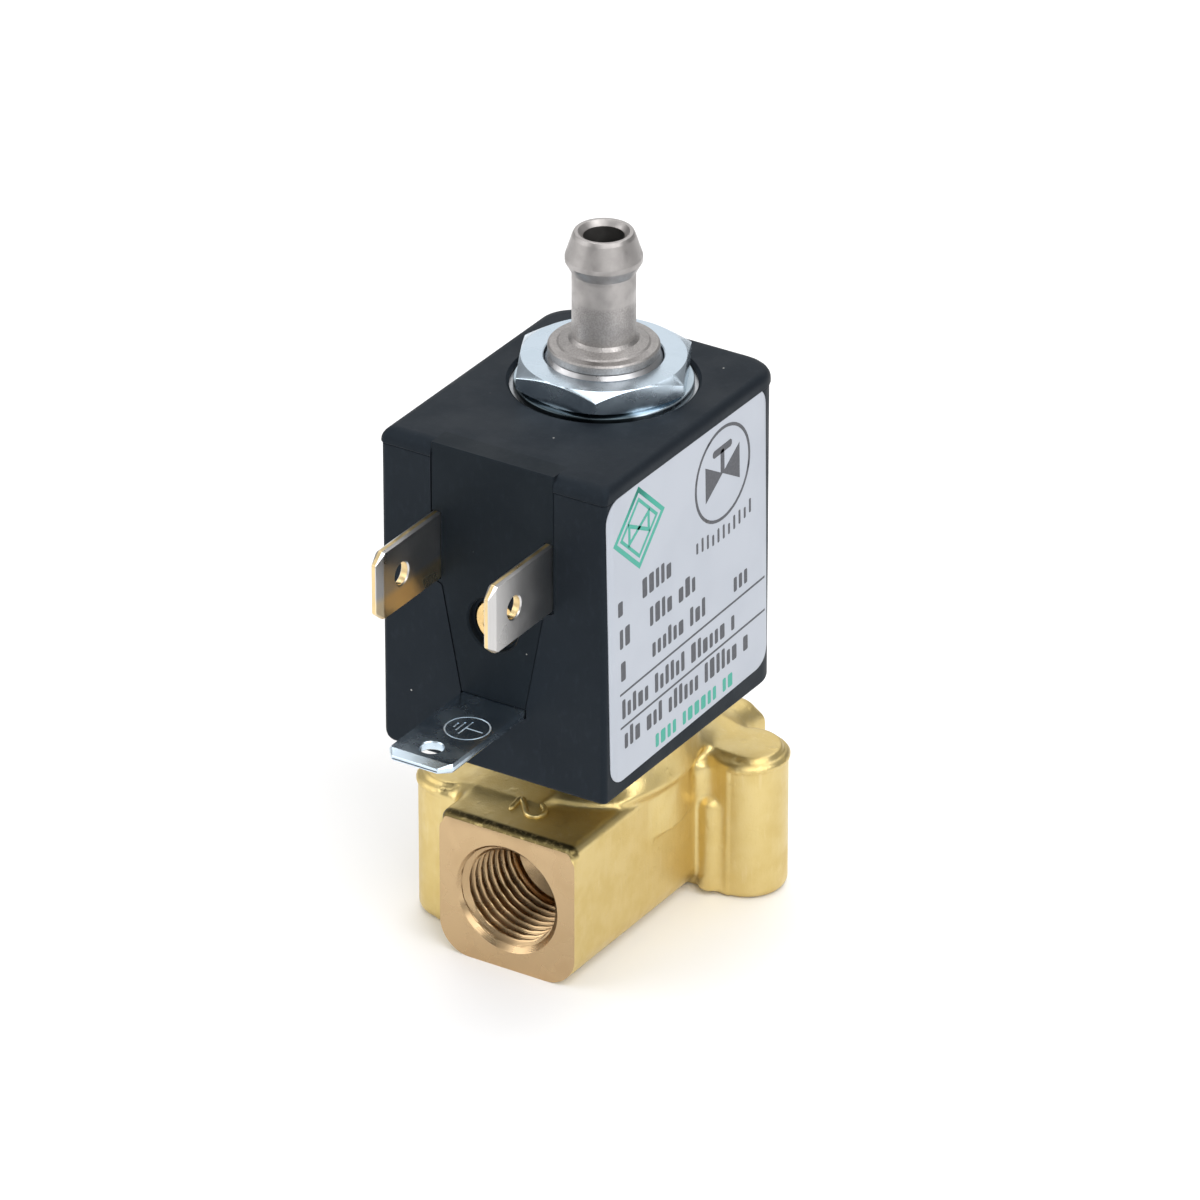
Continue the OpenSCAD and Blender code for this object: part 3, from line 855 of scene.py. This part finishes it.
def build_lid():
    lip = 0.09
    levels = level_steps(SEAM_Z, COIL_TOP, 0.15, 1.15, 7)
    ends = [(0.15, 1.15), (0.15, 0.75), (0.15, 1.15), (0.15, 1.15)]
    lid = loft("housing_lid", casing_loops(levels, lip, ends), 30)
    combine(lid, slab(panel_outline(COIL_TOP + 2), COIL_FRONT - 2, LID_PANEL_BACK))
    recess_r = 7.95
    recess = [(0, SEAM_Z - 1), (recess_r, SEAM_Z - 1), (recess_r, COIL_TOP - 0.25)]
    recess += [(recess_r + 0.25, COIL_TOP), (recess_r + 0.25, COIL_TOP + 1), (0, COIL_TOP + 1)]
    bore(lid, recess, 96)
    combine(lid, brick((-8, -9, SEAM_Z - 1), (8, YOKE_BACK, WASHER_LOW[2])))
    shade(lid, 30)
    finish_piece(lid, "coil", "casing_plastic", CASING, "housing_lid")


def build_panel():
    edge = 0.09
    line = panel_outline(COIL_TOP)
    front = [
        (u, min(v + edge * 0.3, COIL_TOP - 0.03)) if v > COIL_TOP - 0.2 else (u, v)
        for u, v in offset(line, -edge)
    ]
    line = [(u, min(v, COIL_TOP)) for u, v in line]
    loops = [place(front, "XZ", COIL_FRONT)]
    loops += [place(line, "XZ", y) for y in (COIL_FRONT + edge, COIL_FRONT + 0.5, PANEL_BACK)]
    panel = loft("terminal_block", loops, 30)
    combine(panel, brick((-8, LID_PANEL_BACK, SEAM_Z + 0.02), (8, 0, COIL_TOP + 1)))
    w, low, high = 0.42, TAB_LOW[2], TAB_HIGH[2]
    for x in (-5.5, 5.5):
        pocket = rounded([(x - w, low), (x + w, low), (x + w, high), (x - w, high)], 0.05, 2)
        combine(panel, slab(pocket, COIL_FRONT - 1, COIL_FRONT + 5.35))
    y = COIL_FRONT
    seat = [(0, y - 1), (2.6, y - 1), (2.6, y), (2.45, y + 0.15), (2.45, y + 0.6)]
    seat += [(2.16, y + 0.6), (2.16, y + 6.6), (0, y + 6.6)]
    bore(panel, seat, 64, "Y", (0, 0, INSERT_MID))
    shade(panel, 30)
    finish_piece(panel, "coil", "casing_plastic", PANEL, "terminal_block")



# ---------- terminals
def blade(name, tip, root, plane):
    """A stamped blade in its own plane, coined thinner towards its edges.

    Its outline runs along the first axis, from the tip to the root."""
    w, half = 3.15, 0.4
    waist = half * 0.48
    back, cut, coin = 1.05, 0.9, 0.95
    outer = [(root, w), (tip + back, w), (tip, w - cut)]
    inner = [(root, w - 0.14), (tip + back + 0.12, w - 0.14), (tip + coin, w - 0.3)]
    outer += [(a, -b) for a, b in reversed(outer)]
    inner += [(a, -b) for a, b in reversed(inner)]
    outer = rounded(outer, [0, 0.25, 0.3, 0.3, 0.25, 0], 4)
    inner = rounded(inner, [0, 0.04, 0.06, 0.06, 0.04, 0], 4)
    sheared = offset(outer, -0.04)
    lines = [inner, sheared, outer, outer, sheared, inner]
    levels = [-half, -waist - 0.03, -waist + 0.03, waist - 0.03, waist + 0.03, half]
    return loft(name, [place(a, plane, b) for a, b in zip(lines, levels)], 25)


def move(obj, shift):
    obj.data.transform(Matrix.Translation(Vector([c * MM for c in shift])))


def punch_hole(obj, y, mouth, upright):
    """A hole of 1 mm radius through a blade, with its rim eased on both faces."""
    hole = [(0, -1), (mouth, -1), (mouth, -0.4), (1.0, -0.3)]
    hole += [(r, -h) for r, h in reversed(hole)]
    tool = lathe("tool", hole, 48)
    if upright:
        tool.data.transform(Matrix.Rotation(math.pi / 2, 4, "Y"))
    move(tool, (0, y, 0))
    combine(obj, tool)


def build_line_terminal(name, x):
    middle = (TAB_LOW[2] + TAB_HIGH[2]) / 2
    obj = blade(name, TAB_LOW[1], TAB_HIGH[1], "YZ")
    punch_hole(obj, TAB_LOW[1] + 3.65, 1.12, True)
    move(obj, (x, 0, middle))
    shade(obj, 8)
    mark(obj, lambda centre, normal: abs(normal.x) < 0.3)
    finish_piece(obj, "coil", "tinned_brass", [TIN, TIN_EDGE], name)


EARTH_MARK = (0.75, -22.4)


def build_earth_terminal():
    tip = EARTH_LOW[1]
    z = 26.45
    obj = blade("earth_terminal", tip, -9, "YX")
    punch_hole(obj, tip + 2.6, 1.1, False)
    # the blade is one sheet folded double, so a slit shows along its tip
    combine(obj, brick((-2.2, tip - 1, -0.1), (2.2, tip + 0.6, 0.0)))
    engrave_earth(obj, 0.4)
    mark(obj, in_earth_groove)
    leg = brick((-3.15, -8.92, 21.5 - z), (3.15, -8.12, 0.4))
    combine(leg, brick((-3.15, -9.05, -0.4), (3.15, -8.12, 0.4)), "UNION")
    combine(obj, leg, "UNION")
    move(obj, (0, 0, z))
    shade(obj, 8)
    finish_piece(obj, "coil", "zinc_steel", [ZINC, SCORED], "earth_terminal")


def engrave_earth(obj, top):
    """The protective earth symbol in its circle, sunk into a blade's upper face."""
    x, y = EARTH_MARK
    floor = top - 0.07
    ring = [(1.84, floor), (1.98, floor), (1.98, top + 1), (1.84, top + 1)]
    bore(obj, ring, 64, centre=(x, y, 0))
    w = 0.07
    bars = [
        ((-w, -0.1), (w, 1.5)),
        ((-1.15, -0.1 - 2 * w), (1.15, -0.1)),
        ((-0.78, -0.75), (0.78, -0.75 + 2 * w)),
        ((-0.4, -1.2), (0.4, -1.2 + 2 * w)),
    ]
    for (u0, v0), (u1, v1) in bars:
        combine(obj, brick((x + v0, y + u0, floor), (x + v1, y + u1, top + 1)))


def in_earth_groove(centre, normal):
    x, y, z = centre
    from_mark = math.hypot(x - EARTH_MARK[0], y - EARTH_MARK[1])
    return from_mark < 2.1 and 0.3 < z < 0.37 and normal.z > 0.5


def build_insert():
    """The connector screw's threaded bush, with its threads as rings."""
    y0, y1 = INSERT_LOW[1], INSERT_HIGH[1]
    pitch = 0.5
    profile = [(2.15, y1), (2.15, y0 + 0.2), (1.95, y0), (1.5, y0), (1.25, y0 + 0.25)]
    y = y0 + 0.4
    while y < y1 - 0.3:
        profile += [(1.23, y), (1.42, y + pitch / 2)]
        y += pitch
    profile += [(1.23, y1)]
    insert = lathe("connector_insert", profile, 64, "Y", (0, 0, INSERT_MID), 30)
    finish_piece(insert, "coil", "insert_brass", INSERT, "connector_insert")


# ---------- top fitting
def build_nut():
    """A hexagon chamfered at both faces, turned a little out of square."""
    half_flats = 7.0
    turn = math.radians(-3)
    low, top = NUT_LOW[2], NUT_HIGH[2]
    face_r = half_flats - 0.1
    slope = math.tan(math.radians(27))
    bore_r = 5.03
    segments = 144
    vertices = []
    for i in range(segments):
        angle = 2 * math.pi * i / segments
        r = half_flats / math.cos((angle % (math.pi / 3)) - math.pi / 6)
        drop = (r - face_r) * slope
        c, s = math.cos(angle + turn), math.sin(angle + turn)
        rings = [(bore_r, low + 0.5), (bore_r + 0.45, low), (face_r - 0.1, low)]
        rings += [(face_r + 0.06, low + 0.012), (r - 0.05, low + drop - 0.015)]
        rings += [(r, low + drop + 0.04), (r, top - drop - 0.04)]
        rings += [(r - 0.05, top - drop + 0.015), (face_r + 0.06, top - 0.012)]
        rings += [(face_r - 0.1, top), (bore_r + 0.12, top)]
        rings += [(bore_r + 0.03, top - 0.05), (bore_r, top - 0.2)]
        vertices += [(q * c, q * s, h) for q, h in rings]
    nut = make_object("hex_nut", vertices, quads(segments, len(rings), True), 22)
    finish_piece(nut, "nut", "zinc_steel", ZINC, "hex_nut")


def build_washer():
    low, high = WASHER_LOW[2], WASHER_HIGH[2]
    ring = [(5.15, low), (7.6, low), (7.6, high), (5.15, high)]
    washer = lathe("nut_washer", rounded(ring, [0.1, 0.15, 0.15, 0.1], 4), 128)
    # the washer's material carries a painted dark reflection on its front
    finish_piece(washer, "coil", "zinc_steel", ZINC_PAINTED_REFLECTION, "nut_washer")


def build_barb():
    """The hose barb, as (radius, height, rounding) up its outside."""
    top = BARB_TOP
    profile = [
        (1.74, 49, 0), (2.5, 49, 0), (2.5, 52.05, 0), (4.6, 52.05, 0), (4.66, 52.1, 0.03),
        (4.72, 52.2, 0.05), (4.72, 52.82, 0.05), (4.58, 52.96, 0.04), (3.95, 53.02, 0.05),
        (3.78, 53.14, 0.05), (2.98, 53.42, 0.12), (2.7, 53.72, 0.1), (2.7, 59.35, 0.2),
        (2.72, 59.62, 0.06), (3.27, 60.62, 0.16), (3.27, 61.05, 0.16), (2.67, 62.92, 0.2),
        (2.5, top, 0.12), (2.18, top, 0.06), (1.74, top - 0.42, 0.06),
    ]
    outline = rounded([p[:2] for p in profile], [p[2] for p in profile], 5)
    barb = lathe("hose_barb", outline, 128, sharp=24)
    # the bore's inner wall takes the painted shade material
    mark(barb, lambda c, normal: math.hypot(c[0], c[1]) < 1.8 and c[2] < top - 0.5)
    finish_piece(barb, "valve", "stainless", [STAINLESS, BORE_PAINTED_SHADE], "hose_barb")


def build_core():
    """The fixed core: nozzle, shading groove, and the threaded end that carries the nut."""
    low, top = CORE_LOW[2], CORE_HIGH[2]
    face = 34.9
    profile = [(0.75, low), (1.2, low), (1.2, face), (2.6, face), (2.6, face + 1.2)]
    profile += [(3.3, face + 1.2), (3.3, face), (3.85, face), (4.0, face + 0.15), (4.0, 46.5)]
    profile += [(4.75, 46.5), (4.95, 46.7)]
    pitch = 0.75
    z = 47.2
    while z < top - 0.9:
        profile += [(4.95, z), (4.68, z + pitch / 2)]
        z += pitch
    profile += [(4.95, top - 0.55), (4.93, top - 0.4), (4.62, top), (2.5, top), (2.5, 49)]
    profile += [(0.75, 49)]
    core = lathe("fixed_core", profile, 96, sharp=28)
    finish_piece(core, "valve", "magnet_steel", CORE_STEEL, "fixed_core")


# ---------- rating label
LABEL_MID = (-4.33, 35.0)
LABEL_TURN = math.radians(1.6)
LABEL_HALF_W, LABEL_HALF_H = 12.5, 13.4
PRINT_SHIFT = 0.13
LABEL_T = 0.07


def casing_side(y):
    """X of the casing's right side at y, round its back corner."""
    r = 3.0
    past = y - (COIL_BACK - r)
    if past <= 0:
        return COIL_X
    return COIL_X - (r - math.sqrt(max(r * r - past * past, 0)))


def on_label(u, v, lift):
    """A point of the label: u to its right, v up, lift off the casing."""
    c, s = math.cos(LABEL_TURN), math.sin(LABEL_TURN)
    y = LABEL_MID[0] + u * c - v * s
    z = LABEL_MID[1] + u * s + v * c
    return (casing_side(y) + lift, y, z)


def build_label():
    r = 1.9
    w, h = LABEL_HALF_W, LABEL_HALF_H
    turns = [math.pi / 2 * i / 8 for i in range(9)]
    columns = [(-w + r * (1 - math.cos(a)), h - r * (1 - math.sin(a))) for a in turns]
    columns += [(-w + r + (2 * w - 2 * r) * i / 40, h) for i in range(1, 40)]
    columns += [(w - r * (1 - math.sin(a)), h - r * (1 - math.cos(a))) for a in turns]
    vertices, faces = [], []
    for u, v in columns:
        for lift in (-0.01, LABEL_T - 0.015):
            vertices += [on_label(u, -v, lift), on_label(u, v, lift)]
    for u, v in np.array(columns) * 0.9985:
        vertices += [on_label(u, -v, LABEL_T), on_label(u, v, LABEL_T)]
    n = len(columns)
    base = 4 * n
    for i in range(n - 1):
        a, b = 4 * i, 4 * (i + 1)
        c, d = base + 2 * i, base + 2 * (i + 1)
        faces += [(a, b, b + 1, a + 1), (c, c + 1, d + 1, d)]
        faces += [(a, a + 2, b + 2, b), (a + 1, b + 1, b + 3, a + 3)]
        faces += [(a + 2, c, d, b + 2), (a + 3, b + 3, d + 1, c + 1)]
    for a, c in ((0, base), (4 * (n - 1), base + 2 * (n - 1))):
        faces += [(a, a + 1, a + 3, a + 2), (a + 2, a + 3, c + 1, c)]
    label = make_object("name_label", vertices, faces, 30)
    finish_piece(label, "coil", "label_film", LABEL, "name_label")


class Print:
    """Thin raised ink shapes, gathered into one piece."""

    def __init__(self):
        self.vertices, self.faces = [], []

    def shape(self, outline, strip=False):
        start = len(self.vertices)
        n = len(outline)
        for lift in (LABEL_T - 0.01, LABEL_T + 0.012):
            self.vertices += [on_label(u + PRINT_SHIFT, v, lift) for u, v in outline]
        ends = [range(n)]
        if strip:
            ends = [(i, i + 1, n - 2 - i, n - 1 - i) for i in range(n // 2 - 1)]
        for end in ends:
            self.faces.append(tuple(start + i for i in end))
            self.faces.append(tuple(start + n + i for i in reversed(end)))
        for i in range(n):
            k = (i + 1) % n
            self.faces.append((start + i, start + n + i, start + n + k, start + k))

    def line(self, a, b, width):
        """A short stroke with blunt, narrowed ends."""
        a, b = np.array(a, float), np.array(b, float)
        d = (b - a) / np.linalg.norm(b - a) * width / 2
        s = np.array([-d[1], d[0]])
        first = [a + s, a - d * 0.6 + s * 0.5, a - d * 0.6 - s * 0.5, a - s]
        self.shape(first + [b - s, b + d * 0.6 - s * 0.5, b + d * 0.6 + s * 0.5, b + s])

    def rule(self, a, b, width, parts=24):
        """A long thin line, in short lengths that follow the casing round its corner."""
        a, b = np.array(a, float), np.array(b, float)
        along = [a + (b - a) * i / parts for i in range(parts + 1)]
        side = np.array([0, width / 2])
        self.shape([p - side for p in along] + [p + side for p in reversed(along)], strip=True)

    def path(self, points, width):
        """A band along a closed path, with mitred joints."""
        outer, inner = offset(points, width / 2), offset(points, -width / 2)
        for i in range(len(points)):
            k = (i + 1) % len(points)
            self.shape([outer[i], outer[k], inner[k], inner[i]])

    def row(self, u0, u1, v, height, seed):
        """A greeked line of print: small upright blocks in word-like groups, and no letters."""
        random = np.random.RandomState(seed)
        u = u0
        left = random.randint(3, 7)
        while u < u1 - 0.3:
            tall = height * (0.96 if random.rand() < 0.4 else 0.72)
            wide = 0.5 if random.rand() < 0.7 else 0.72
            block = [(u, v), (u + wide, v), (u + wide, v + tall), (u, v + tall)]
            self.shape(rounded(block, 0.14, 2))
            u += wide + 0.33
            left -= 1
            if left == 0:
                u += 0.75
                left = random.randint(3, 7)

    def piece(self, name, material):
        obj = make_object(name, self.vertices, self.faces, 30)
        finish_piece(obj, "coil", "label_film", material)


# the label's short rows of print: left end, right end, baseline, height, seed
SHORT_ROWS = [
    (-11.1, -10.4, 2.25, 1.9, 1),
    (-7.3, -2.2, 2.25, 1.9, 5),
    (-10.9, -9.2, -0.9, 1.9, 8),
    (-6.2, 1.5, -0.95, 1.9, 11),
    (-10.8, -10.1, -4.0, 1.85, 2),
    (-5.9, 2.6, -4.05, 1.85, 23),
    (7.0, 9.4, -4.15, 1.9, 4),
]


def build_print():
    dark, green = Print(), Print()
    # a round emblem with a valve pictogram, and a curved line of print below it
    u0, v0 = 5.42, 8.1
    turns = [2 * math.pi * i / 48 for i in range(48)]
    dark.path([(u0 + 4.25 * math.cos(a), v0 + 4.25 * math.sin(a)) for a in turns], 0.3)
    for u in (-2.7, 2.7):
        dark.shape([(u0, v0), (u0 + u, v0 + np.sign(u) * 1.7), (u0 + u, v0 - np.sign(u) * 1.7)])
    dark.line((u0, v0 + 0.2), (u0, v0 + 2.1), 0.6)
    dark.line((u0 - 1.3, v0 + 2.3), (u0 + 1.3, v0 + 2.3), 0.7)
    for i in range(11):
        u = 1.3 + i * 0.84
        v = 2.4 - 0.5 * math.sin(math.pi * i / 10)
        dark.line((u, v), (u, v + (1.15 if i % 3 else 0.85)), 0.3)
    # a lozenge emblem
    u0, v0 = -7.7, 9.2
    for size, width in ((1.0, 0.42), (0.74, 0.3)):
        w, h = 3.7 * size, 3.6 * size
        green.path([(u0 - w, v0), (u0, v0 - h), (u0 + w, v0), (u0, v0 + h)], width)
    for u in (-1.5, 1.5):
        green.path([(u0, v0), (u0 + u, v0 + 0.85), (u0 + u, v0 - 0.85)], 0.34)
    for row in SHORT_ROWS:
        dark.row(*row)
    dark.rule((-11.0, -5.2), (11.95, -5.0), 0.2)
    dark.row(-10.7, 7.4, -7.65, 1.9, 31)
    dark.rule((-11.0, -8.4), (11.95, -8.2), 0.2)
    dark.row(-10.4, 9.6, -10.6, 1.95, 41)
    green.row(-5.6, 6.5, -12.9, 1.75, 52)
    dark.piece("label_print_dark", INK_DARK)
    green.piece("label_print_green", INK_GREEN)


# ---------- build everything
build_body()
build_port_digits()
build_housing()
build_lid()
build_panel()
build_line_terminal("line_terminal_left", -5.5)
build_line_terminal("line_terminal_right", 5.5)
build_earth_terminal()
build_insert()
build_nut()
build_washer()
build_barb()
build_core()
build_label()
build_print()

# CAD meshes that keep their own shape
KEPT = {
    SEAL: ("tube_o_ring", "lower_seal", "exhaust_seal"),
    TUBE_STEEL: ("armature_tube",),
    COPPER: ("shading_ring",),
    SPRING: ("plunger_spring", "exhaust_seal_spring"),
    CORE_STEEL: ("plunger",),
    YOKE: ("magnet_yoke",),
    BOBBIN: ("bobbin",),
    WINDING: ("coil_winding", "winding_leads"),
}
for material, nodes in KEPT.items():
    for node in nodes:
        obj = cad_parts[node]
        if not obj.material_slots:
            obj.data.materials.append(material)
        for slot in obj.material_slots:
            slot.material = material
# ---------- floor, light and camera
def build_floor():
    n, half = 24, 3000.0
    ticks = [-half + 2 * half * i / n for i in range(n + 1)]
    vertices = [(x, y, 0) for y in ticks for x in ticks]
    corners = [j * (n + 1) + i for j in range(n) for i in range(n)]
    faces = [(k, k + 1, k + n + 2, k + n + 1) for k in corners]
    floor = make_object("floor", vertices, faces)
    s = Shader("floor_paint", (0.93, 0.93, 0.93), 0.0, 0.6)
    s.vary(s.noise(60, 2.0), (0.55, 0.65), (0.3, 0.7, 0, 0.5), (0.91, 0.91, 0.915))
    floor.data.materials.append(s.material)


# soft boxes: position and size in mm, and watts
LIGHTS = {
    "key": ((480, -200, 520), (640, 640), 3.9),
    "fill": ((-560, -420, 380), (640, 560), 2.6),
    "top": ((-60, 160, 720), (700, 700), 3.4),
    "back": ((-330, 560, 330), (700, 460), 0.72),
    "front": ((375, -595, 400), (560, 380), 0.75),
}


def soft_box(name, place_mm, size_mm, watts):
    """A rectangular light aimed at the middle of the valve."""
    light = bpy.data.lights.new(name, "AREA")
    light.shape = "RECTANGLE"
    light.size, light.size_y = (s * MM for s in size_mm)
    light.energy = watts
    obj = add_object(name, light)
    spot, aim = (Vector([c * MM for c in p]) for p in (place_mm, (0, 0, 30)))
    obj.location = spot
    obj.rotation_euler = (aim - spot).to_track_quat("-Z", "Y").to_euler()


def build_world():
    world = bpy.data.worlds.new("studio")
    world.use_nodes = True
    bpy.context.scene.world = world
    background = world.node_tree.nodes["Background"]
    background.inputs["Color"].default_value = (1.0, 1.0, 1.0, 1)
    background.inputs["Strength"].default_value = 0.3


def build_camera():
    azimuth, elevation = math.radians(32.21), math.radians(28.37)
    target = Vector((-0.273, -0.172, 28.488)) * MM
    level = math.cos(elevation)
    away = Vector((math.sin(azimuth) * level, -math.cos(azimuth) * level, math.sin(elevation)))
    data = bpy.data.cameras.new("camera")
    data.sensor_width = 36
    data.lens = 303.9
    data.clip_start, data.clip_end = 0.01, 50
    camera = add_object("camera", data)
    distance = 0.85567
    camera.location = target + away * distance
    camera.rotation_euler = (-away).to_track_quat("-Z", "Y").to_euler()
    bpy.context.scene.camera = camera


build_floor()
build_world()
for name, values in LIGHTS.items():
    soft_box(name, *values)
build_camera()
bpy.context.scene.view_settings.view_transform = "Standard"
